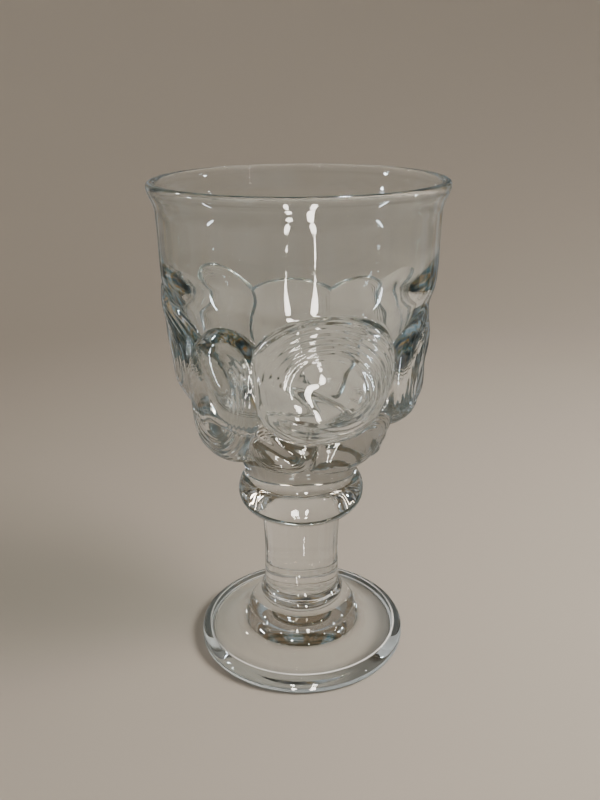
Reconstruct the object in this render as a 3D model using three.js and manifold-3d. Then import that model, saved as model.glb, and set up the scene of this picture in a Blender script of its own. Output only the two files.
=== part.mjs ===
// A footed beer glass of clear pressed glass.
//
// Five gathers stand on one axis and are joined face to face while hot: foot, collar,
// stem, knop and bowl. The bowl is turned first, then two rows of swollen lobes are laid
// round it like scales and fused with its wall, while the drinking space stays smooth.
//
// Millimetres, +Z up. The origin is on the table, under the middle of the foot.
// Azimuths are in degrees, counted from the -Y side and growing towards +X.

import * as THREE from "three";
import Module from "manifold-3d";
import { mergeVertices } from "three/addons/utils/BufferGeometryUtils.js";

// Radii of the flat discs where one piece meets the next
const FOOT_TO_COLLAR = 13.2;
const COLLAR_TO_STEM = 12.6;
const STEM_TO_KNOP = 12.9;
const KNOP_TO_BOWL = 17.6;

// Foot: a round plate with a rounded edge, dished below, that climbs to a mound
const FOOT_RADIUS = 35;
const FOOT_EDGE_THICKNESS = 5.6;
const FOOT_ROUND_BELOW = 1.7;
const FOOT_ROUND_ABOVE = 2.6;
const REST_RING_WIDTH = 2.6;
const DISH_STEP = 0.9;
const DISH_STEP_WIDTH = 0.6;
const DISH_DEPTH = 3.4;
const FOOT_CLIMB = 3;
const MOUND_RADIUS = 18.4;
const MOUND_HEIGHT = 7.4;
const MOUND_FILLET = 5.5;

// Collar, stem and knop
const COLLAR_HEIGHT = 6.5;
const COLLAR_BULGE = 0.9;
const COLLAR_BULGE_HEIGHT = 2.4;
const STEM_LENGTH = 27;
const STEM_WAIST = 12.3;
const STEM_WAIST_HEIGHT = 12;
const KNOP_HEIGHT = 12.5;
const KNOP_RADIUS = 20.6;
const KNOP_WIDEST = 7.3;

// Bowl: a neck that flares to a cone, and above the cone an almost upright wall with a lip
const BOWL_HEIGHT = 94.5;
const NECK_RISE = 4;
const CONE_BASE_RADIUS = 26.5;
const CONE_BASE_HEIGHT = 22;
const CONE_BASE_PULL = 11.5;
const CONE_TOP_RADIUS = 40.4;
const CONE_TOP_HEIGHT = 62.5;
const CONE_TOP_PULL = 5;
const WALL_TOP_RADIUS = 41.9;
const WALL_TOP_PULL = 14;
const WALL_LEAN = 0.05;
const LIP_HEIGHT = 9;
const LIP_WIDEST = 7.8;
const LIP_FLARE = 2.2;
const LIP_PULL = 3.5;
const LIP_SIDE_PULL = 2.5;
const MOUTH_RADIUS = 41.1;
const MOUTH_ROUND = 2.8;

// Drinking space: its wall at the shoulder and at the waist, its floor, and how it narrows
// below the mouth
const SHOULDER_WALL = 2.8;
const SHOULDER_HEIGHT = 69;
const WAIST_WALL = 2.6;
const WAIST_HEIGHT = 35;
const FLOOR_THICKNESS = 20.5;
const MOUTH_PULL = 6;
const MOUTH_TAPER = 3.3;
const SHOULDER_PULL = 7;
const WAIST_PULL = 12;
const FLOOR_PULL = 16;

// Lobes: the crowns of a row lie on a cone that stands out of the ground by two amounts,
// each at its own height above the bowl's underside. A lobe's face domes a little, the two
// shoulders say how tightly it rolls off at its upper and its lower edge, and its lower half
// is squarer than an ellipse.
const UPPER_CROWNS = { topHeight: 67, topProud: 1.7, bottomHeight: 20, bottomProud: 10.4 };
const LOWER_CROWNS = { topHeight: 32, topProud: 5.2, bottomHeight: 9, bottomProud: 9.4 };
const LOBE_DOME = 0.9;
const SHOULDER_ABOVE = 10;
const SHOULDER_BELOW = 4;
const SQUARENESS_BELOW = 2.8;
const LOBE_WELD = 0.5;
const LOBE_ROOT = 1;

// Each lobe: azimuth and half width in degrees, top and bottom above the bowl's underside,
// how many degrees its ends lean, how far its crown lies inside its row's cone at its middle,
// and how much more inside for each millimetre further up
const UPPER_LOBES = [
  { azimuth: 11.5, halfWidth: 36, top: 64, bottom: 22, lean: 0, inset: -0.4, tilt: 0 },
  { azimuth: 70, halfWidth: 29, top: 61, bottom: 21.5, lean: 0, inset: 0.5, tilt: 0.08 },
  { azimuth: 109, halfWidth: 21, top: 64, bottom: 23, lean: 0, inset: 0.6, tilt: 0 },
  { azimuth: 141.5, halfWidth: 22.5, top: 56.5, bottom: 21, lean: 0, inset: -0.8, tilt: 0 },
  { azimuth: 184.5, halfWidth: 30.5, top: 55, bottom: 20, lean: 0, inset: -0.8, tilt: 0 },
  { azimuth: 230, halfWidth: 21.5, top: 65, bottom: 23, lean: 0, inset: -0.8, tilt: 0 },
  { azimuth: 280, halfWidth: 36, top: 66, bottom: 26, lean: 0, inset: 0.3, tilt: 0 },
  { azimuth: 319.5, halfWidth: 24, top: 59, bottom: 11.5, lean: 10, inset: -0.3, tilt: 0 },
];
const LOWER_LOBES = [
  { azimuth: 350, halfWidth: 22, top: 33, bottom: 11, lean: 0, inset: 0, tilt: 0 },
  { azimuth: 32, halfWidth: 25, top: 34, bottom: 10, lean: 12, inset: 0, tilt: 0 },
  { azimuth: 76, halfWidth: 23, top: 27, bottom: 8, lean: 0, inset: 4.5, tilt: 0 },
  { azimuth: 114, halfWidth: 23, top: 28, bottom: 8, lean: 0, inset: 3, tilt: 0 },
  { azimuth: 152, halfWidth: 23, top: 29, bottom: 8, lean: 0, inset: 1.5, tilt: 0 },
  { azimuth: 192, halfWidth: 23, top: 29, bottom: 8, lean: 0, inset: 1, tilt: 0 },
  { azimuth: 232, halfWidth: 23, top: 29, bottom: 8, lean: 0, inset: 1, tilt: 0 },
  { azimuth: 272, halfWidth: 23, top: 28, bottom: 8, lean: 0, inset: 2, tilt: 0 },
];

// Facets: round the axis, along a long curve, a tight round or a gentle curve, over a lobe
const TURN_STEPS = 60;
const CURVE_STEPS = 5;
const ROUND_STEPS = 4;
const GENTLE_STEPS = 3;
const KNOP_STEPS = 5;
const LIP_STEPS = 4;
const FLOOR_STEPS = 6;
const LOBE_SIDES = 22;
const LOBE_RINGS = 10;
const SAME_POINT = 1e-4;

// How far the ends of an eased change of radius pull, as a share of its height
const EASE_PULL = 1 / 3;

// Heights of the joints above the table, from the pieces below them
const COLLAR_BASE = FOOT_EDGE_THICKNESS + FOOT_CLIMB + MOUND_HEIGHT;
const STEM_BASE = COLLAR_BASE + COLLAR_HEIGHT;
const KNOP_BASE = STEM_BASE + STEM_LENGTH;
const BOWL_BASE = KNOP_BASE + KNOP_HEIGHT;

// A point of a profile, as radius and height
const at = (radius, height) => new THREE.Vector2(radius, height);

// A curve between two points, with the pull of each end as an offset from that end
function bend(start, startPull, endPull, end, steps = CURVE_STEPS) {
  const leave = start.clone().add(startPull);
  const arrive = end.clone().add(endPull);
  return new THREE.CubicBezierCurve(start, leave, arrive, end).getPoints(steps);
}

// A quarter of an ellipse that leaves its start upright or level
function quarterRound(start, end, leaves, steps = ROUND_STEPS) {
  const points = [];
  for (let i = 0; i <= steps; i += 1) {
    const turn = (i / steps) * (Math.PI / 2);
    const first = Math.sin(turn);
    const last = 1 - Math.cos(turn);
    const across = leaves === "upright" ? last : first;
    const along = leaves === "upright" ? first : last;
    points.push(at(
      start.x + (end.x - start.x) * across,
      start.y + (end.y - start.y) * along,
    ));
  }
  return points;
}

// A change of radius that starts and ends upright
function easeRadius(start, end, steps = GENTLE_STEPS) {
  const rise = (end.y - start.y) * EASE_PULL;
  return bend(start, at(0, rise), at(0, -rise), end, steps);
}

// Joins stretches of a profile, each of which starts where the last one ended
function joinStretches(...stretches) {
  return stretches.flatMap((points, i) => (i === 0 ? points : points.slice(1)));
}

function turned(profile) {
  const geometry = new THREE.LatheGeometry(profile, TURN_STEPS);
  geometry.rotateX(Math.PI / 2);
  return geometry;
}

// The shallow dish under the foot, from the middle out to a step at the ring it rests on
function dishProfile(ringInner) {
  const dishRadius = ringInner - DISH_STEP_WIDTH;
  const points = [];
  for (let i = 0; i <= CURVE_STEPS; i += 1) {
    const share = i / CURVE_STEPS;
    const sag = (DISH_DEPTH - DISH_STEP) * (1 - share * share);
    points.push(at(dishRadius * share, DISH_STEP + sag));
  }
  return [...points, at(ringInner, 0)];
}

function footProfile() {
  const ringOuter = FOOT_RADIUS - FOOT_ROUND_BELOW;
  const ringInner = ringOuter - REST_RING_WIDTH;
  const roundTop = at(FOOT_RADIUS - FOOT_ROUND_ABOVE, FOOT_EDGE_THICKNESS);
  const moundBase = at(MOUND_RADIUS, FOOT_EDGE_THICKNESS + FOOT_CLIMB);
  const weld = at(FOOT_TO_COLLAR, COLLAR_BASE);
  const slope = at(roundTop.x - moundBase.x, roundTop.y - moundBase.y).normalize();
  const filletEnd = moundBase.clone().addScaledVector(slope, MOUND_FILLET);
  const filletTop = at(moundBase.x, moundBase.y + MOUND_FILLET / 2);
  const pullIn = slope.clone().multiplyScalar(-MOUND_FILLET / 2);
  return joinStretches(
    dishProfile(ringInner),
    [at(ringInner, 0), at(ringOuter, 0)],
    quarterRound(at(ringOuter, 0), at(FOOT_RADIUS, FOOT_ROUND_BELOW), "level"),
    quarterRound(at(FOOT_RADIUS, FOOT_EDGE_THICKNESS - FOOT_ROUND_ABOVE), roundTop, "upright"),
    [roundTop, filletEnd],
    bend(filletEnd, pullIn, at(0, 0), filletTop, GENTLE_STEPS),
    quarterRound(filletTop, weld, "upright"),
    [weld, at(0, COLLAR_BASE)],
  );
}

function collarProfile() {
  const foot = at(FOOT_TO_COLLAR, 0);
  const widest = at(FOOT_TO_COLLAR + COLLAR_BULGE, COLLAR_BULGE_HEIGHT);
  const top = at(COLLAR_TO_STEM, COLLAR_HEIGHT);
  return [
    at(0, 0),
    ...joinStretches(quarterRound(foot, widest, "level"), easeRadius(widest, top)),
    at(0, COLLAR_HEIGHT),
  ];
}

function stemProfile() {
  const waist = at(STEM_WAIST, STEM_WAIST_HEIGHT);
  const below = easeRadius(at(COLLAR_TO_STEM, 0), waist);
  const above = easeRadius(waist, at(STEM_TO_KNOP, STEM_LENGTH));
  return [at(0, 0), ...joinStretches(below, above), at(0, STEM_LENGTH)];
}

function knopProfile() {
  const widest = at(KNOP_RADIUS, KNOP_WIDEST);
  const under = quarterRound(at(STEM_TO_KNOP, 0), widest, "level", KNOP_STEPS);
  const over = quarterRound(widest, at(KNOP_TO_BOWL, KNOP_HEIGHT), "upright");
  return [at(0, 0), ...joinStretches(under, over), at(0, KNOP_HEIGHT)];
}

// An offset along the upper wall, which leans outwards a little
const wallPull = (length) => at(WALL_LEAN * length, length);

// The outside of the bowl without its lobes, from the knop to the start of the lip
function groundProfile() {
  const neck = at(KNOP_TO_BOWL, 0);
  const coneBase = at(CONE_BASE_RADIUS, CONE_BASE_HEIGHT);
  const coneTop = at(CONE_TOP_RADIUS, CONE_TOP_HEIGHT);
  const wallTop = at(WALL_TOP_RADIUS, BOWL_HEIGHT - LIP_HEIGHT);
  const cone = coneTop.clone().sub(coneBase).normalize();
  const pullBack = cone.clone().multiplyScalar(-CONE_BASE_PULL);
  const pullOn = cone.clone().multiplyScalar(CONE_TOP_PULL);
  return joinStretches(
    bend(neck, at(0, NECK_RISE), pullBack, coneBase),
    [coneBase, coneTop],
    bend(coneTop, pullOn, wallPull(-WALL_TOP_PULL), wallTop),
  );
}

// The radius of a profile that climbs, at a height
function radiusAt(profile, height) {
  const next = profile.findIndex((point) => point.y > height);
  if (next === -1) {
    return profile[profile.length - 1].x;
  }
  const low = profile[Math.max(0, next - 1)];
  const high = profile[Math.max(1, next)];
  return low.x + ((high.x - low.x) * (height - low.y)) / (high.y - low.y);
}

// The rim: a lip that flares outwards and rolls over to the inside of the wall
function rimProfile() {
  const lipStart = at(WALL_TOP_RADIUS, BOWL_HEIGHT - LIP_HEIGHT);
  const lipSide = at(WALL_TOP_RADIUS + LIP_FLARE, lipStart.y + LIP_WIDEST);
  const mouth = at(MOUTH_RADIUS, BOWL_HEIGHT - MOUTH_ROUND);
  const crest = at((lipSide.x + mouth.x) / 2, BOWL_HEIGHT);
  return joinStretches(
    bend(lipStart, wallPull(LIP_PULL), at(0, -LIP_SIDE_PULL), lipSide, LIP_STEPS),
    quarterRound(lipSide, crest, "upright"),
    quarterRound(crest, mouth, "level"),
  );
}

// The inside of the bowl, from the mouth down to the middle of the floor
function cavityProfile(ground) {
  const mouth = at(MOUTH_RADIUS, BOWL_HEIGHT - MOUTH_ROUND);
  const shoulder = at(radiusAt(ground, SHOULDER_HEIGHT) - SHOULDER_WALL, SHOULDER_HEIGHT);
  const waist = at(radiusAt(ground, WAIST_HEIGHT) - WAIST_WALL, WAIST_HEIGHT);
  const cone = shoulder.clone().sub(waist).normalize();
  const pullUp = cone.clone().multiplyScalar(SHOULDER_PULL);
  const pullDown = cone.clone().multiplyScalar(-WAIST_PULL);
  return joinStretches(
    bend(mouth, at(-MOUTH_TAPER, -MOUTH_PULL), pullUp, shoulder),
    [shoulder, waist],
    bend(waist, pullDown, at(FLOOR_PULL, 0), at(0, FLOOR_THICKNESS), FLOOR_STEPS),
  );
}

// The cone on which a row's crowns lie, as the radius at a height
function crownRadius(crowns, ground, height) {
  const bottomRadius = radiusAt(ground, crowns.bottomHeight) + crowns.bottomProud;
  const topRadius = radiusAt(ground, crowns.topHeight) + crowns.topProud;
  const share = (height - crowns.bottomHeight) / (crowns.topHeight - crowns.bottomHeight);
  return bottomRadius + (topRadius - bottomRadius) * share;
}

// How far a point of a lobe's disc moves out, as its lower half fills its corners
function squaring(across, along) {
  const round = Math.hypot(across, along);
  if (along >= 0 || round < SAME_POINT) {
    return 1;
  }
  const power = SQUARENESS_BELOW;
  return round / (Math.abs(across) ** power + Math.abs(along) ** power) ** (1 / power);
}

// One lobe: a ball pressed to a rounded slab and bent round the bowl. Its outer half swells
// out of the ground, and its inner half is the root that fuses with the wall.
function lobeGeometry(lobe, crowns, ground) {
  const ball = new THREE.SphereGeometry(1, LOBE_SIDES, LOBE_RINGS);
  ball.rotateX(Math.PI / 2);
  const middle = (lobe.top + lobe.bottom) / 2;
  const halfHeight = (lobe.top - lobe.bottom) / 2;
  const position = ball.getAttribute("position");
  for (let i = 0; i < position.count; i += 1) {
    const squarer = squaring(position.getX(i), position.getY(i));
    const across = position.getX(i) * squarer;
    const along = position.getY(i) * squarer;
    const out = position.getZ(i);
    const height = middle + halfHeight * along;
    const buried = radiusAt(ground, height) - LOBE_WELD;
    const share = Math.min(1, Math.hypot(position.getX(i), position.getY(i)));
    const dome = LOBE_DOME * (1 - share * share);
    const inset = lobe.inset + lobe.tilt * halfHeight * along;
    const crown = crownRadius(crowns, ground, height) - inset - LOBE_DOME / 2 + dome;
    const shoulder = SHOULDER_BELOW + ((SHOULDER_ABOVE - SHOULDER_BELOW) * (along + 1)) / 2;
    const swell = Math.sqrt(1 - share ** shoulder);
    const radius = out >= 0 ? buried + (crown - buried) * swell : buried + LOBE_ROOT * out;
    const azimuth = lobe.azimuth + lobe.halfWidth * across + lobe.lean * along;
    const turn = THREE.MathUtils.degToRad(azimuth);
    position.setXYZ(i, radius * Math.sin(turn), -radius * Math.cos(turn), height);
  }
  return ball;
}

const wasm = await Module();
wasm.setup();

// A closed geometry as a solid that can be joined with others
function toSolid(geometry) {
  const bare = geometry.clone();
  bare.deleteAttribute("normal");
  bare.deleteAttribute("uv");
  const merged = mergeVertices(bare, SAME_POINT);
  const corners = merged.index.array;
  const kept = [];
  for (let i = 0; i < corners.length; i += 3) {
    const triangle = [corners[i], corners[i + 1], corners[i + 2]];
    if (new Set(triangle).size === 3) {
      kept.push(...triangle);
    }
  }
  return new wasm.Manifold(new wasm.Mesh({
    numProp: 3,
    vertProperties: new Float32Array(merged.getAttribute("position").array),
    triVerts: new Uint32Array(kept),
  }));
}

function fromSolid(solid) {
  const mesh = solid.getMesh();
  const geometry = new THREE.BufferGeometry();
  geometry.setAttribute("position", new THREE.BufferAttribute(mesh.vertProperties, 3));
  geometry.setIndex(new THREE.BufferAttribute(mesh.triVerts, 1));
  geometry.computeVertexNormals();
  return geometry;
}

function bowlGeometry() {
  const ground = groundProfile();
  const wall = turned([at(0, 0), ...joinStretches(ground, rimProfile(), cavityProfile(ground))]);
  const lobes = [
    ...UPPER_LOBES.map((lobe) => lobeGeometry(lobe, UPPER_CROWNS, ground)),
    ...LOWER_LOBES.map((lobe) => lobeGeometry(lobe, LOWER_CROWNS, ground)),
  ];
  const fused = lobes.reduce((solid, lobe) => solid.add(toSolid(lobe)), toSolid(wall));
  return fromSolid(fused);
}

const glass = (red, green, blue) => new THREE.MeshStandardMaterial({
  color: new THREE.Color(red, green, blue),
  roughness: 0.03,
  metalness: 0,
  transparent: true,
  opacity: 0.45,
});

function piece(name, geometry, material, base) {
  const mesh = new THREE.Mesh(geometry, material);
  mesh.name = name;
  mesh.position.z = base;
  return mesh;
}

const beerGlass = new THREE.Group();
beerGlass.add(
  piece("foot", turned(footProfile()), glass(0.8, 0.82, 0.82), 0),
  piece("collar", turned(collarProfile()), glass(0.74, 0.78, 0.79), COLLAR_BASE),
  piece("stem", turned(stemProfile()), glass(0.82, 0.82, 0.81), STEM_BASE),
  piece("knop", turned(knopProfile()), glass(0.72, 0.76, 0.78), KNOP_BASE),
  piece("bowl", bowlGeometry(), glass(0.78, 0.8, 0.8), BOWL_BASE),
);

export default beerGlass;
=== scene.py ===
# A footed beer glass of clear pressed glass, on a plain pale floor in soft studio light.
#
# Metres, +Z up, origin on the floor under the middle of the foot. Each of the five gathers
# of glass is one closed mesh in place of its CAD node. Where two gathers are fused, both
# meshes end in the same disc, and the disc's material lets light straight through.
#
# Azimuths are counted from the -Y side and grow towards +X.

import math

import bpy
import numpy as np
from mathutils import Matrix, Vector


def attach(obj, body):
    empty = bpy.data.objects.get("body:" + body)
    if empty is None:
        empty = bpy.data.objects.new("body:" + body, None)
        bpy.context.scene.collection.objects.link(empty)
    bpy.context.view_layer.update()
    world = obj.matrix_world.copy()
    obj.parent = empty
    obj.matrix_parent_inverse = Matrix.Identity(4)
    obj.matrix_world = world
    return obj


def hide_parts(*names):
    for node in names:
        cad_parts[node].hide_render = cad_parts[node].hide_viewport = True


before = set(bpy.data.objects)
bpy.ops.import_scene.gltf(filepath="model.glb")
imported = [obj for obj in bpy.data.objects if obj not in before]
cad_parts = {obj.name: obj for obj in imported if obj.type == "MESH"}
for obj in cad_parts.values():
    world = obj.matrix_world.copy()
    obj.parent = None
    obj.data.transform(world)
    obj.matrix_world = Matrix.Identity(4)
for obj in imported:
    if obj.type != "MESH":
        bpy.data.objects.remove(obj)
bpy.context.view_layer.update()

MM = 0.001

# Heights of the five gathers above the floor, and the radii of the discs between them, in mm
COLLAR_BASE = 16.0
STEM_BASE = 22.5
KNOP_BASE = 49.5
BOWL_BASE = 62.0
FOOT_TO_COLLAR = 13.2
COLLAR_TO_STEM = 12.6
STEM_TO_KNOP = 12.9
KNOP_TO_BOWL = 17.6

# Fineness of the visible surface
TURN_STEPS = 320
BOWL_TURN_STEPS = 600
OUTSIDE_STEP = 0.3
SHARP_ANGLE = math.radians(60)

# Material numbers of a mesh: its main material, a disc that it shares, its worn ring
MAIN, WELD, WORN = 0, 1, 2

# Height of the shallow flutes that the tools leave round stem and knop, mm
TOOL_FLUTES = 0.03

# Where use has worn the underside of the foot matt
WORN_RADII = (30.4, 31.4)
WORN_HEIGHT = 0.5

# The smooth ground of the bowl that the lobes stand on, heights above the bowl's underside
NECK_RISE = 4.0
CONE_BASE = (26.5, 22.0)
CONE_BASE_PULL = 11.5
CONE_TOP = (40.4, 62.5)
CONE_TOP_PULL = 5.0
WALL_TOP_RADIUS = 41.9
WALL_TOP_PULL = 14.0
BOWL_HEIGHT = 94.5
WALL_LEAN = 0.05
LIP_HEIGHT = 9.0
LIP_WIDEST = 7.8
LIP_FLARE = 2.2
LIP_PULL = 3.5
LIP_SIDE_PULL = 2.5
MOUTH_RADIUS = 41.1
MOUTH_ROUND = 2.8

# The drinking space
SHOULDER_WALL = 2.8
SHOULDER_HEIGHT = 69.0
WAIST_WALL = 2.6
WAIST_HEIGHT = 35.0
FLOOR_THICKNESS = 20.5
MOUTH_PULL = 6.0
MOUTH_TAPER = 3.3
SHOULDER_PULL = 7.0
WAIST_PULL = 12.0
FLOOR_PULL = 16.0

# Cones on which the crowns of the two rows of lobes lie: how far they stand out of the
# ground at two heights
UPPER_CROWNS = ((67.0, 1.7), (20.0, 10.4))
LOWER_CROWNS = ((32.0, 5.2), (9.0, 9.4))

# How much a lobe's face is domed, and how wide the fillet in a crease is, mm
LOBE_DOME = 0.9
CREASE_ROUND = 1.2

# Powers in a lobe's curves: how sharp its shoulder is at the top and at the bottom, and
# how square the outline of its upper and lower half, where 2 is round
SHOULDER_ABOVE = 10.0
SHOULDER_BELOW = 4.0
SQUARE_ABOVE = 2.0
SQUARE_BELOW = 2.8

# The ripples and dents that the chilled skin of each lobe keeps: their heights in mm, the
# number of ripples from its middle to its edge, and where on that way they grow and end
RIPPLE_HEIGHT = 0.1
DENT_HEIGHT = 0.45
RIPPLES = 12.0
RIPPLES_GROW = (0.3, 0.6)
RIPPLES_END = (0.85, 1)
DENTS_END = (0.6, 0.95)

# How deep a lobe stands out of the ground, in mm, where its marks begin and are full
MARKS_BEGIN = 2.2
MARKS_FULL = 4.2

# Each lobe: the azimuth and half its width in degrees, its top and bottom in mm above the
# bowl's underside, how far its top leans in degrees, how far its middle lies inside the
# cone of the crowns in mm, and how much farther in it lies for each mm above the middle
UPPER_LOBES = (
    (11.5, 36, 64, 22, 0, -0.4, 0),
    (70, 29, 61, 21.5, 0, 0.5, 0.08),
    (109, 21, 64, 23, 0, 0.6, 0),
    (141.5, 22.5, 56.5, 21, 0, -0.8, 0),
    (184.5, 30.5, 55, 20, 0, -0.8, 0),
    (230, 21.5, 65, 23, 0, -0.8, 0),
    (280, 36, 66, 26, 0, 0.3, 0),
    (319.5, 24, 59, 11.5, 10, -0.3, 0),
)
LOWER_LOBES = (
    (350, 22, 33, 11, 0, 0, 0),
    (32, 25, 34, 10, 12, 0, 0),
    (76, 23, 27, 8, 0, 4.5, 0),
    (114, 23, 28, 8, 0, 3, 0),
    (152, 23, 29, 8, 0, 1.5, 0),
    (192, 23, 29, 8, 0, 1, 0),
    (232, 23, 29, 8, 0, 1, 0),
    (272, 23, 28, 8, 0, 2, 0),
)


# Profiles, as arrays of (radius, height) in mm

def point(radius, height):
    return np.array([radius, height], float)


def bend(start, start_pull, end_pull, end, steps):
    """A cubic curve whose pulls are offsets from its two ends."""
    t = np.linspace(0, 1, steps + 1)[:, None]
    leave = start + start_pull
    arrive = end + end_pull
    return ((1 - t) ** 3 * start + 3 * (1 - t) ** 2 * t * leave
            + 3 * (1 - t) * t ** 2 * arrive + t ** 3 * end)


def quarter_round(start, end, leaves, steps):
    """A quarter of an ellipse that leaves its start upright or level."""
    turn = np.linspace(0, math.pi / 2, steps + 1)
    first, last = np.sin(turn), 1 - np.cos(turn)
    across, along = (last, first) if leaves == "upright" else (first, last)
    return np.column_stack((
        start[0] + (end[0] - start[0]) * across,
        start[1] + (end[1] - start[1]) * along,
    ))


def ease_radius(start, end, steps):
    """A change of radius that starts and ends upright."""
    rise = point(0, (end[1] - start[1]) / 3)
    return bend(start, rise, -rise, end, steps)


def straight(start, end, steps):
    return start + (end - start) * np.linspace(0, 1, steps + 1)[:, None]


def join(*stretches):
    return np.vstack([stretches[0]] + [s[1:] for s in stretches[1:]])


def unit(vector):
    return vector / np.linalg.norm(vector)


# Meshes

def ring_mesh(name, rings, start_weld, end_weld, worn=()):
    """Joins rings of points into a skin. Rings is (rings, steps, 3) in mm. A weld is the
    material number of the flat fan that closes that end, and None leaves the end open.
    Worn lists the rows of faces that are ground matt by use."""
    count, steps, _ = rings.shape
    verts = [rings.reshape(-1, 3)]
    ids = np.arange(count * steps).reshape(count, steps)
    here, there = ids[:-1], ids[1:]
    quads = np.stack((here, np.roll(here, -1, 1), np.roll(there, -1, 1), there), -1)
    faces = quads.reshape(-1, 4).tolist()
    slots = [MAIN] * len(faces)
    for row in worn:
        slots[row * steps:(row + 1) * steps] = [WORN] * steps
    extra = count * steps
    for ring, weld, flip in ((0, start_weld, True), (count - 1, end_weld, False)):
        if weld is None:
            continue
        centre = rings[ring].mean(0)
        verts.append(centre[None])
        loop = ids[ring]
        after = np.roll(loop, -1)
        pairs = zip(after, loop) if flip else zip(loop, after)
        fan = [(int(a), int(b), extra) for a, b in pairs]
        faces += fan
        slots += [weld] * len(fan)
        extra += 1
    mesh = bpy.data.meshes.new(name)
    mesh.from_pydata((np.vstack(verts) * MM).tolist(), [], faces)
    mesh.polygons.foreach_set("material_index", slots)
    mesh.polygons.foreach_set("use_smooth", [True] * len(faces))
    mesh.validate()
    mesh.update()
    mesh.set_sharp_from_angle(angle=SHARP_ANGLE)
    made = bpy.data.objects.new(name, mesh)
    bpy.context.collection.objects.link(made)
    return made


def turn_points(profile, steps, marks=0.0):
    """The rings of a turned profile, counted so that an upward profile's faces look out.
    Marks is the height of the shallow flutes that the tools leave round it, in mm, which
    fade out towards both ends."""
    angle = np.linspace(0, 2 * math.pi, steps, endpoint=False)
    radius, height = profile[:, 0][:, None], profile[:, 1][:, None]
    if marks:
        along = (height - height.min()) / (height.max() - height.min())
        flutes = (np.sin(17 * angle + 1.3 * np.sin(3 * angle))
                  + 0.6 * np.sin(29 * angle + 2 * along)
                  + 0.8 * np.sin(5 * angle + 4 * along))
        radius = radius + marks * flutes * np.sin(math.pi * along)
    return np.stack((
        radius * np.sin(angle),
        -radius * np.cos(angle),
        np.broadcast_to(height, (len(profile), steps)),
    ), -1)


# Materials

# The glass seen straight on, in foot and stem and in the thicker knop and bowl, the painted
# shade that darkens it where it is seen at a slant, and where that begins
PALE_TINT = (0.96, 0.98, 0.98)
DEEP_TINT = (0.945, 0.98, 0.985)
SLANT_PAINTED_SHADE = (0.8, 0.87, 0.89)
GRAZING_BEGINS = 0.7

# Painted reflections: the streaks that stand in for the many reflections inside the glass,
# as (value of a noise, colour): from slate or brown past amber to clear
BOWL_STREAKS = (
    (0.36, (0.3, 0.42, 0.46)),
    (0.45, (0.55, 0.68, 0.72)),
    (0.51, (0.74, 0.78, 0.76)),
    (0.54, (0.8, 0.6, 0.34)),
    (0.58, (1, 1, 1)),
)
FOOT_STREAKS = (
    (0.4, (0.6, 0.53, 0.42)),
    (0.47, (0.7, 0.66, 0.6)),
    (0.51, (0.84, 0.7, 0.48)),
    (0.54, (0.88, 0.86, 0.83)),
    (0.6, (1, 1, 1)),
)
STREAK_SWIRL = 2.5
STREAK_DETAIL = 3.0

# Reflections inside the glass that are followed before the light counts as trapped
REFLECTIONS = 1

# The foot's edge, metres: where its rounding bends light away from the floor, so that it
# lets less through there, and where painted shade tints the glass blue-grey; and the crest
# where a painted highlight lights it in patches of a noise
FOOT_EDGE_SHADE_RADII = (0.0295, 0.032)
THICK_SHADE = (0.42, 0.44, 0.46)
FOOT_EDGE_PAINTED_SHADE = (0.55, 0.63, 0.67)
CREST_RADIUS = 0.0321
CREST_WIDTH = 0.00045
CREST_HEIGHT = 0.004
CREST_PATCHES = 22
CREST_PATCH_RANGE = (0.3, 0.55)

# The worn ring: its colour, the fineness of its grain, and the values of the grain where
# light begins to pass and where all of it passes
WORN_WHITE = (0.98, 0.99, 1)
WORN_GRAIN = 900
WORN_GRAIN_RANGE = (0.5, 0.9)


def new_material(name):
    material = bpy.data.materials.new(name)
    material.use_nodes = True
    tree = material.node_tree
    tree.nodes.clear()
    return material, tree


def finish_material(tree, shader):
    out = tree.nodes.new("ShaderNodeOutputMaterial")
    tree.links.new(shader, out.inputs["Surface"])


def feed(tree, socket, colour):
    """Gives a socket its colour, which is three numbers or another socket."""
    if isinstance(colour, tuple):
        socket.default_value = (*colour, 1)
    else:
        tree.links.new(colour, socket)


def blend(tree, share, first, second):
    """A colour that goes from the first to the second as the share grows."""
    mix = tree.nodes.new("ShaderNodeMix")
    mix.data_type = "RGBA"
    tree.links.new(share, mix.inputs["Factor"])
    feed(tree, mix.inputs["A"], first)
    feed(tree, mix.inputs["B"], second)
    return mix.outputs["Result"]


def shader_of(tree, kind, colour):
    """A shader that has nothing but a colour."""
    shader = tree.nodes.new(kind)
    feed(tree, shader.inputs["Color"], colour)
    return shader.outputs["BSDF"]


def blend_shaders(tree, share, first, second):
    mix = tree.nodes.new("ShaderNodeMixShader")
    tree.links.new(share, mix.inputs["Fac"])
    tree.links.new(first, mix.inputs[1])
    tree.links.new(second, mix.inputs[2])
    return mix.outputs["Shader"]


def noise(tree, place, scale, detail=2.0, roughness=0.5, swirl=0.0):
    texture = tree.nodes.new("ShaderNodeTexNoise")
    texture.inputs["Scale"].default_value = scale
    texture.inputs["Detail"].default_value = detail
    texture.inputs["Roughness"].default_value = roughness
    texture.inputs["Distortion"].default_value = swirl
    tree.links.new(place, texture.inputs["Vector"])
    return texture.outputs["Fac"]


def tones(tree, value, stops):
    """Colours by value. Stops are (value, colour), and a new ramp has two already."""
    ramp = tree.nodes.new("ShaderNodeValToRGB")
    elements = ramp.color_ramp.elements
    for i, (position, colour) in enumerate(stops):
        stop = elements[i] if i < 2 else elements.new(position)
        stop.position = position
        stop.color = (*colour, 1)
    tree.links.new(value, ramp.inputs["Fac"])
    return ramp.outputs["Color"]


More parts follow.
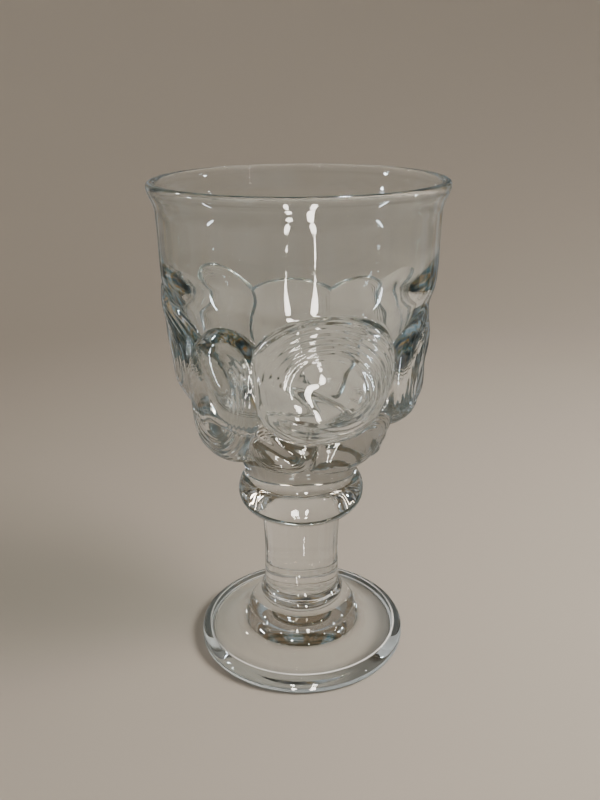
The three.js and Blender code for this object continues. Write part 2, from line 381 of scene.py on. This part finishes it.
def between(tree, value, start, end):
    """How far a value has come from start to end, from 0 to 1."""
    share = tree.nodes.new("ShaderNodeMapRange")
    share.inputs["From Min"].default_value = start
    share.inputs["From Max"].default_value = end
    tree.links.new(value, share.inputs["Value"])
    return share.outputs["Result"]


def product(tree, first, second):
    both = tree.nodes.new("ShaderNodeMath")
    both.operation = "MULTIPLY"
    tree.links.new(first, both.inputs[0])
    tree.links.new(second, both.inputs[1])
    return both.outputs[0]


def place_on_piece(tree):
    return tree.nodes.new("ShaderNodeTexCoord").outputs["Object"]


def distance_from_axis(tree, place):
    flat = tree.nodes.new("ShaderNodeVectorMath")
    flat.operation = "MULTIPLY"
    flat.inputs[1].default_value = (1, 1, 0)
    length = tree.nodes.new("ShaderNodeVectorMath")
    length.operation = "LENGTH"
    tree.links.new(place, flat.inputs[0])
    tree.links.new(flat.outputs["Vector"], length.inputs[0])
    return length.outputs["Value"]


def height_of(tree, place):
    split = tree.nodes.new("ShaderNodeSeparateXYZ")
    tree.links.new(place, split.inputs["Vector"])
    return split.outputs["Z"]


def crest_painted_highlight(tree, place, radius):
    """Where the painted highlight lies on the crest of the foot's edge, in patches."""
    rising = between(tree, radius, CREST_RADIUS - CREST_WIDTH, CREST_RADIUS)
    falling = between(tree, radius, CREST_RADIUS + CREST_WIDTH, CREST_RADIUS)
    above = between(tree, height_of(tree, place), CREST_HEIGHT, CREST_HEIGHT + CREST_WIDTH)
    patches = between(tree, noise(tree, place, CREST_PATCHES), *CREST_PATCH_RANGE)
    return product(tree, product(tree, rising, falling), product(tree, above, patches))


def wavy_glass(tree, place, tint, waviness, wave_scale, edge_shade):
    """A smooth refracting surface with a little waviness from the mould, with painted shade
    that darkens it where it is seen at a slant. The last argument is the share of the foot's
    edge where painted shade tints it blue-grey, or None."""
    add, link = tree.nodes.new, tree.links.new
    glass = add("ShaderNodeBsdfPrincipled")
    glass.inputs["Roughness"].default_value = 0.0
    glass.inputs["IOR"].default_value = 1.52
    glass.inputs["Transmission Weight"].default_value = 1.0
    bump = add("ShaderNodeBump")
    bump.inputs["Strength"].default_value = 1.0
    bump.inputs["Distance"].default_value = waviness
    waves = noise(tree, place, wave_scale, detail=1.5, roughness=0.4)
    link(waves, bump.inputs["Height"])
    link(bump.outputs["Normal"], glass.inputs["Normal"])
    # Painted shade: the glass darkens where it is seen at a slant.
    facing = add("ShaderNodeLayerWeight")
    facing.inputs["Blend"].default_value = 0.5
    grazing = between(tree, facing.outputs["Facing"], GRAZING_BEGINS, 1)
    colour = blend(tree, grazing, tint, SLANT_PAINTED_SHADE)
    # Painted shade: the glass at the foot's edge is tinted blue-grey.
    if edge_shade is not None:
        colour = blend(tree, edge_shade, colour, FOOT_EDGE_PAINTED_SHADE)
    link(colour, glass.inputs["Base Color"])
    return glass.outputs["BSDF"]


def trapped_light(tree, path):
    """1 for light that has been reflected inside the glass more often than is followed."""
    trapped = tree.nodes.new("ShaderNodeMath")
    trapped.operation = "GREATER_THAN"
    trapped.inputs[1].default_value = REFLECTIONS + 0.5
    tree.links.new(path.outputs["Glossy Depth"], trapped.inputs[0])
    return trapped.outputs[0]


def glass_material(name, tint, waviness, wave_scale, clearness, streaks, streak_scale,
                   foot_edge_shade_and_highlight=False):
    """Clear pressed glass. It lets lamps' rays through so that the floor is lit behind it,
    and lets out trapped light with painted streaks that stand in for its many further
    reflections. Waviness is the height of its waves in metres, and clearness what it lets
    through to the floor. On the foot's edge it lets less through, tints the glass blue-grey
    with painted shade and puts a painted highlight on the crest."""
    material, tree = new_material(name)
    place = place_on_piece(tree)
    path = tree.nodes.new("ShaderNodeLightPath")
    radius, edge_shade, passing = None, None, clearness
    if foot_edge_shade_and_highlight:
        radius = distance_from_axis(tree, place)
        edge_shade = between(tree, radius, *FOOT_EDGE_SHADE_RADII)
        passing = blend(tree, edge_shade, clearness, THICK_SHADE)
    # Painted reflections: trapped light is let out tinted by a noise of slate, amber and clear.
    mixture = noise(tree, place, streak_scale, STREAK_DETAIL, swirl=STREAK_SWIRL)
    let_out = shader_of(tree, "ShaderNodeBsdfTransparent", tones(tree, mixture, streaks))
    clear = shader_of(tree, "ShaderNodeBsdfTransparent", passing)

    shader = wavy_glass(tree, place, tint, waviness, wave_scale, edge_shade)
    shader = blend_shaders(tree, trapped_light(tree, path), shader, let_out)
    shader = blend_shaders(tree, path.outputs["Is Shadow Ray"], shader, clear)
    shader = blend_shaders(tree, path.outputs["Is Diffuse Ray"], shader, clear)
    # Painted highlight: a pale ring on the crest of the foot's edge, in patches of a noise.
    if foot_edge_shade_and_highlight:
        highlight_white = shader_of(tree, "ShaderNodeBsdfDiffuse", (1, 1, 1))
        shader = blend_shaders(tree, crest_painted_highlight(tree, place, radius), shader, highlight_white)
    finish_material(tree, shader)
    return material


def weld_material():
    """The disc where two gathers are one glass: light passes straight through."""
    material, tree = new_material("weld")
    finish_material(tree, tree.nodes.new("ShaderNodeBsdfTransparent").outputs["BSDF"])
    return material


def worn_material():
    """Glass that use has scratched matt, as on the ring that a foot rests on."""
    material, tree = new_material("worn_glass")
    matt = shader_of(tree, "ShaderNodeBsdfDiffuse", WORN_WHITE)
    through = shader_of(tree, "ShaderNodeBsdfTranslucent", WORN_WHITE)
    grain = noise(tree, place_on_piece(tree), WORN_GRAIN)
    thin = between(tree, grain, *WORN_GRAIN_RANGE)
    finish_material(tree, blend_shaders(tree, thin, matt, through))
    return material


# The gathers below the bowl

def foot_profile():
    foot_radius, edge_thickness, climb, mound_radius = 35.0, 5.6, 3.0, 18.4
    round_below, round_above, fillet = 1.7, 2.6, 5.5
    ring_outer = foot_radius - round_below
    ring_inner = ring_outer - 2.6
    dish_step, step_width, dish_depth = 0.9, 0.6, 3.4
    dish_edge = point(ring_inner - step_width, dish_step)
    share = np.linspace(0, 1, 25)[:, None]
    dish = np.hstack((
        dish_edge[0] * share,
        dish_step + (dish_depth - dish_step) * (1 - share ** 2),
    ))
    round_top = point(foot_radius - round_above, edge_thickness)
    mound_base = point(mound_radius, edge_thickness + climb)
    weld = point(FOOT_TO_COLLAR, COLLAR_BASE)
    slope = unit(round_top - mound_base)
    fillet_end = mound_base + slope * fillet
    fillet_top = mound_base + point(0, fillet / 2)
    return join(
        dish,
        bend(dish_edge, point(0.3, 0), point(0, 0.5), point(ring_inner, 0), 10),
        straight(point(ring_inner, 0), point(ring_outer, 0), 6),
        quarter_round(point(ring_outer, 0), point(foot_radius, round_below), "level", 8),
        straight(point(foot_radius, round_below),
                 point(foot_radius, edge_thickness - round_above), 2),
        quarter_round(point(foot_radius, edge_thickness - round_above), round_top,
                      "upright", 12),
        straight(round_top, fillet_end, 12),
        bend(fillet_end, -slope * fillet / 2, point(0, 0), fillet_top, 8),
        quarter_round(fillet_top, weld, "upright", 24),
    )


def worn_rows(rings):
    """The rows of the foot on the inner part of its resting ring."""
    radius = np.hypot(rings[:, 0, 0], rings[:, 0, 1])
    height = rings[:, 0, 2]
    rows = range(len(rings) - 1)
    return [row for row in rows
            if WORN_RADII[0] <= radius[row] < WORN_RADII[1] and height[row] < WORN_HEIGHT]


def collar_profile():
    bottom = point(FOOT_TO_COLLAR, COLLAR_BASE)
    widest = point(FOOT_TO_COLLAR + 0.9, COLLAR_BASE + 2.4)
    top = point(COLLAR_TO_STEM, STEM_BASE)
    return join(quarter_round(bottom, widest, "level", 12), ease_radius(widest, top, 14))


def stem_profile():
    waist = point(12.3, STEM_BASE + 12)
    below = ease_radius(point(COLLAR_TO_STEM, STEM_BASE), waist, 16)
    return join(below, ease_radius(waist, point(STEM_TO_KNOP, KNOP_BASE), 20))


def knop_profile():
    widest = point(20.6, KNOP_BASE + 7.3)
    under = quarter_round(point(STEM_TO_KNOP, KNOP_BASE), widest, "level", 24)
    over = quarter_round(widest, point(KNOP_TO_BOWL, BOWL_BASE), "upright", 18)
    return join(under, over)


# The bowl

def ground_profile(steps):
    neck = point(KNOP_TO_BOWL, 0)
    cone_base, cone_top = point(*CONE_BASE), point(*CONE_TOP)
    wall_top = point(WALL_TOP_RADIUS, BOWL_HEIGHT - LIP_HEIGHT)
    cone = unit(cone_top - cone_base)
    return join(
        bend(neck, point(0, NECK_RISE), -cone * CONE_BASE_PULL, cone_base, steps),
        straight(cone_base, cone_top, steps),
        bend(cone_top, cone * CONE_TOP_PULL, -WALL_TOP_PULL * point(WALL_LEAN, 1), wall_top,
             steps),
    )


GROUND = ground_profile(60)


def ground_radius(height):
    return np.interp(height, GROUND[:, 1], GROUND[:, 0])


def crown_radius(crowns, height):
    (top, top_proud), (bottom, bottom_proud) = crowns
    top_radius = ground_radius(top) + top_proud
    bottom_radius = ground_radius(bottom) + bottom_proud
    return bottom_radius + (top_radius - bottom_radius) * (height - bottom) / (top - bottom)


def soft_step(start, end, value):
    share = np.clip((value - start) / (end - start), 0, 1)
    return share * share * (3 - 2 * share)


def chill_marks(across, along, share, seed):
    """Concentric ripples inside a lobe's edge, and shallow dents over its face."""
    bearing = np.arctan2(along, across)
    drift = 0.35 * np.sin(2 * bearing + seed) + 0.2 * np.sin(3 * bearing - 2 * seed)
    ripple = np.sin(2 * math.pi * (RIPPLES * share + drift))
    ripple_reach = soft_step(*RIPPLES_GROW, share) * (1 - soft_step(*RIPPLES_END, share))
    strength = 0.55 + 0.45 * np.sin(bearing + 1.7 * seed)
    dents = (np.sin(4.1 * across + 1.9 * np.sin(2.6 * along + seed) + seed)
             * np.sin(4.7 * along + 1.6 * np.sin(3.1 * across - seed) + 2.3 * seed))
    dent_reach = 1 - soft_step(*DENTS_END, share)
    return (RIPPLE_HEIGHT * strength * ripple_reach * ripple
            + DENT_HEIGHT * dent_reach * dents)


def lobe_radius(lobe, crowns, azimuth, height):
    """The radius of one lobe's outside over a grid of azimuths and heights, and the
    ground's own radius less the crease's round outside the lobe."""
    centre, half_width, top, bottom, lean, inset, tilt = lobe
    along = (height - (top + bottom) / 2) / ((top - bottom) / 2)
    turn = (azimuth - centre - lean * along + 180) % 360 - 180
    across = turn / half_width
    square = np.where(along < 0, SQUARE_BELOW, SQUARE_ABOVE)
    share = (np.abs(across) ** square + np.abs(along) ** square) ** (1 / square)
    shoulder = SHOULDER_BELOW + (SHOULDER_ABOVE - SHOULDER_BELOW) * (along + 1) / 2
    shoulder = np.clip(shoulder, SHOULDER_BELOW, SHOULDER_ABOVE)
    inside = np.clip(share, 0, 1)
    swell = np.sqrt(1 - inside ** shoulder)
    dome = LOBE_DOME * (0.5 - inside ** 2)
    buried = ground_radius(height) - CREASE_ROUND
    inset = inset + tilt * (top - bottom) / 2 * along
    crown = crown_radius(crowns, height) - inset + dome
    marks = chill_marks(across, along, inside, math.radians(centre))
    marks = marks * soft_step(MARKS_BEGIN, MARKS_FULL, crown - buried)
    return buried + (crown + marks - buried) * swell


def soft_max(a, b, width):
    """The larger of two surfaces, with a fillet where they cross."""
    reach = np.clip(width - np.abs(a - b), 0, None) / width
    return np.maximum(a, b) + width * reach ** 3 / 6


def lobed_rings():
    """The outside of the bowl from the knop to the lip, as a grid of radii."""
    wall_top = BOWL_HEIGHT - LIP_HEIGHT
    rows = round(wall_top / OUTSIDE_STEP)
    height = np.linspace(0, wall_top, rows + 1)[:, None]
    azimuth = np.linspace(0, 360, BOWL_TURN_STEPS, endpoint=False)[None, :]
    radius = np.broadcast_to(ground_radius(height), (rows + 1, BOWL_TURN_STEPS)).copy()
    for lobes, crowns in ((LOWER_LOBES, LOWER_CROWNS), (UPPER_LOBES, UPPER_CROWNS)):
        for lobe in lobes:
            radius = soft_max(radius, lobe_radius(lobe, crowns, azimuth, height), CREASE_ROUND)
    radius[0] = KNOP_TO_BOWL
    turn = np.radians(azimuth)
    return np.stack((
        radius * np.sin(turn),
        -radius * np.cos(turn),
        np.broadcast_to(BOWL_BASE + height, radius.shape),
    ), -1)


def rim_profile():
    lip_start = point(WALL_TOP_RADIUS, BOWL_HEIGHT - LIP_HEIGHT)
    lip_side = lip_start + point(LIP_FLARE, LIP_WIDEST)
    mouth = point(MOUTH_RADIUS, BOWL_HEIGHT - MOUTH_ROUND)
    crest = point((lip_side[0] + mouth[0]) / 2, BOWL_HEIGHT)
    return join(
        bend(lip_start, LIP_PULL * point(WALL_LEAN, 1), point(0, -LIP_SIDE_PULL), lip_side, 14),
        quarter_round(lip_side, crest, "upright", 10),
        quarter_round(crest, mouth, "level", 12),
    )


def cavity_profile():
    mouth = point(MOUTH_RADIUS, BOWL_HEIGHT - MOUTH_ROUND)
    shoulder = point(ground_radius(SHOULDER_HEIGHT) - SHOULDER_WALL, SHOULDER_HEIGHT)
    waist = point(ground_radius(WAIST_HEIGHT) - WAIST_WALL, WAIST_HEIGHT)
    cone = unit(shoulder - waist)
    floor = point(0, FLOOR_THICKNESS)
    return join(
        bend(mouth, -point(MOUTH_TAPER, MOUTH_PULL), cone * SHOULDER_PULL, shoulder, 24),
        straight(shoulder, waist, 24),
        bend(waist, -cone * WAIST_PULL, point(FLOOR_PULL, 0), floor, 40)[:-1],
    )


def bowl_mesh():
    inside = join(rim_profile(), cavity_profile())[1:] + point(0, BOWL_BASE)
    rings = np.concatenate((lobed_rings(), turn_points(inside, BOWL_TURN_STEPS)))
    return ring_mesh("pressed_bowl", rings, WELD, MAIN)


# The five gathers in their materials

def turned(name, profile, marks=0.0):
    """A gather between two shared discs."""
    return ring_mesh(name, turn_points(profile, TURN_STEPS, marks), WELD, WELD)


def dress(piece, node, materials):
    for material in materials:
        piece.data.materials.append(material)
    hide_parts(node)
    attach(piece, "root")


fused = weld_material()
foot_glass = glass_material("foot_glass", PALE_TINT, waviness=0.00006, wave_scale=60,
                            clearness=(0.97, 0.975, 0.97), streaks=FOOT_STREAKS,
                            streak_scale=220, foot_edge_shade_and_highlight=True)
stem_glass = glass_material("stem_glass", PALE_TINT, waviness=0.00014, wave_scale=90,
                            clearness=(0.86, 0.88, 0.88), streaks=FOOT_STREAKS,
                            streak_scale=160)
knop_glass = glass_material("knop_glass", DEEP_TINT, waviness=0.00018, wave_scale=110,
                            clearness=(0.86, 0.88, 0.88), streaks=BOWL_STREAKS,
                            streak_scale=130)
bowl_glass = glass_material("bowl_glass", DEEP_TINT, waviness=0.00014, wave_scale=80,
                            clearness=(0.82, 0.84, 0.84), streaks=BOWL_STREAKS,
                            streak_scale=100)

foot_rings = turn_points(foot_profile()[1:], TURN_STEPS)
dress(ring_mesh("round_foot", foot_rings, MAIN, WELD, worn_rows(foot_rings)),
      "foot", (foot_glass, fused, worn_material()))
dress(turned("collar_ring", collar_profile()),
      "collar", (stem_glass, fused))
dress(turned("plain_stem", stem_profile(), TOOL_FLUTES),
      "stem", (stem_glass, fused))
dress(turned("ball_knop", knop_profile(), TOOL_FLUTES),
      "knop", (knop_glass, fused))
dress(bowl_mesh(), "bowl", (bowl_glass, fused))


# Floor, light and camera

PALE_PAPER = (0.49, 0.45, 0.405)

# Keeps the floor from lying in the same plane as the underside of the foot, mm
FLOOR_GAP = 0.05

# The floor's flat middle, the rounding round it and the top of its wall, metres. The hole
# in the middle is closed by a flat fan.
FLOOR_HOLE = 0.01
FLOOR_FLAT = 0.4
FLOOR_ROUND = 0.5
WALL_TOP = 0.52
FLOOR_STEPS = 96

# The colours of the room, as (value of a noise, colour): above the floor's wall, and below
# it, where only reflections see the room
ROOM_STRENGTH = 0.46
HIGH_ROOM_SCALE = 1.6
HIGH_ROOM = (
    (0.45, (0.36, 0.275, 0.18)),
    (0.62, (0.6, 0.68, 0.7)),
)
LOW_ROOM_SCALE = 6.0
LOW_ROOM = (
    (0.4, (0.14, 0.15, 0.15)),
    (0.47, (0.4, 0.4, 0.39)),
    (0.5, (0.66, 0.46, 0.2)),
    (0.53, (0.55, 0.59, 0.6)),
    (0.62, (0.85, 0.9, 0.92)),
)
LOW_ROOM_ENDS, HIGH_ROOM_BEGINS = math.radians(16), math.radians(32)

# Name, azimuth, distance, height and size of each lamp in degrees and metres, its
# brightness to the eye, its colour, and whether it lights the floor or shines in the glass.
# All face AIM. Those below the floor make the long reflections on the walls of the bowl.
AIM = (0, 0, 0.09)
WARM = (1, 0.93, 0.84)
COOL = (0.78, 0.9, 1)
LAMPS = (
    ("key", 76, 0.46, 0.5, (0.25, 0.25), 36, WARM, True),
    ("fill", 40, 0.3, 0.9, (0.3, 0.3), 3, WARM, True),
    ("right_side", 90, 0.8, 0.16, (0.05, 0.2), 100, COOL, False),
    ("left_side", -83, 0.8, 0.22, (0.05, 0.2), 100, COOL, False),
    ("low_right", 11.3, 0.42, -0.074, (0.042, 0.222), 60, WARM, False),
    ("deep_right", 11.3, 0.42, -0.345, (0.05, 0.16), 60, WARM, False),
    ("low_left", -9.6, 0.42, -0.074, (0.029, 0.222), 60, WARM, False),
    ("deep_left", -9.6, 0.42, -0.335, (0.045, 0.07), 60, WARM, False),
    ("low_side_left", -73, 0.4, -0.055, (0.016, 0.12), 60, COOL, False),
    ("low_side_right", 65, 0.4, -0.048, (0.016, 0.14), 60, COOL, False),
    ("spark_front", -25, 0.5, 0.8, (0.025, 0.025), 2500, WARM, False),
    ("spark_right", 50, 0.6, 0.6, (0.025, 0.025), 2500, WARM, False),
    ("spark_back", 165, 0.5, 0.75, (0.03, 0.03), 1500, COOL, False),
    ("spark_left", 230, 0.6, 0.6, (0.025, 0.025), 1500, WARM, False),
)

# The camera's place in metres, its slant, and its lens in mm, which fit the ellipses of
# rim, collar and foot
CAMERA_PLACE = (-0.0001, -0.2501, 0.1834)
CAMERA_DOWN = math.radians(21.03)
CAMERA_ROLL = math.radians(-0.46)
CAMERA_LENS = 37.67


def floor_material():
    material, tree = new_material("pale_floor")
    paper = tree.nodes.new("ShaderNodeBsdfPrincipled")
    paper.inputs["Base Color"].default_value = (*PALE_PAPER, 1)
    paper.inputs["Roughness"].default_value = 0.8
    paper.inputs["Specular IOR Level"].default_value = 0.0
    finish_material(tree, paper.outputs["BSDF"])
    return material


def floor_sweep():
    """A flat round floor that curves up to a low wall all round, open above. Reflections
    look through it to the lamps below."""
    side = FLOOR_FLAT + FLOOR_ROUND
    profile = join(
        straight(point(FLOOR_HOLE, 0), point(FLOOR_FLAT, 0), 6),
        quarter_round(point(FLOOR_FLAT, 0), point(side, FLOOR_ROUND), "level", 24),
        straight(point(side, FLOOR_ROUND), point(side, WALL_TOP), 2),
    ) / MM - point(0, FLOOR_GAP)
    rings = turn_points(profile, FLOOR_STEPS)[::-1]
    made = ring_mesh("floor", rings, None, MAIN)
    made.data.materials.append(floor_material())
    made.visible_glossy = False


def lamp(name, azimuth, distance, height, size, radiance, colour, lights_floor):
    """An oval lamp that faces the glass."""
    data = bpy.data.lights.new(name, "AREA")
    data.shape = "ELLIPSE"
    data.size, data.size_y = size
    data.energy = math.pi * radiance * math.pi / 4 * size[0] * size[1]
    data.color = colour
    made = bpy.data.objects.new(name, data)
    bpy.context.collection.objects.link(made)
    turn = math.radians(azimuth)
    place = Vector((distance * math.sin(turn), -distance * math.cos(turn), height))
    made.location = place
    made.rotation_mode = "QUATERNION"
    made.rotation_quaternion = (place - Vector(AIM)).to_track_quat("Z", "Y")
    made.visible_camera = False
    made.visible_diffuse = lights_floor
    made.visible_glossy = not lights_floor
    made.visible_transmission = not lights_floor


def room_light():
    """The room: brown above, with soft brighter patches, and below from dark to pale."""
    world = bpy.data.worlds.new("room")
    world.use_nodes = True
    tree = world.node_tree
    back = tree.nodes["Background"]
    place = tree.nodes.new("ShaderNodeTexCoord").outputs["Generated"]
    low = tones(tree, noise(tree, place, LOW_ROOM_SCALE), LOW_ROOM)
    high = tones(tree, noise(tree, place, HIGH_ROOM_SCALE), HIGH_ROOM)
    rise = between(tree, height_of(tree, place), math.sin(LOW_ROOM_ENDS),
                   math.sin(HIGH_ROOM_BEGINS))
    feed(tree, back.inputs["Color"], blend(tree, rise, low, high))
    back.inputs["Strength"].default_value = ROOM_STRENGTH
    bpy.context.scene.world = world


def camera():
    data = bpy.data.cameras.new("camera")
    data.sensor_width = 36
    data.lens = CAMERA_LENS
    data.clip_start = 0.01
    made = bpy.data.objects.new("camera", data)
    bpy.context.collection.objects.link(made)
    made.matrix_world = (
        Matrix.Translation(CAMERA_PLACE)
        @ Matrix.Rotation(math.pi / 2 - CAMERA_DOWN, 4, "X")
        @ Matrix.Rotation(CAMERA_ROLL, 4, "Z")
    )
    bpy.context.scene.camera = made


floor_sweep()
for row in LAMPS:
    lamp(*row)
room_light()
camera()
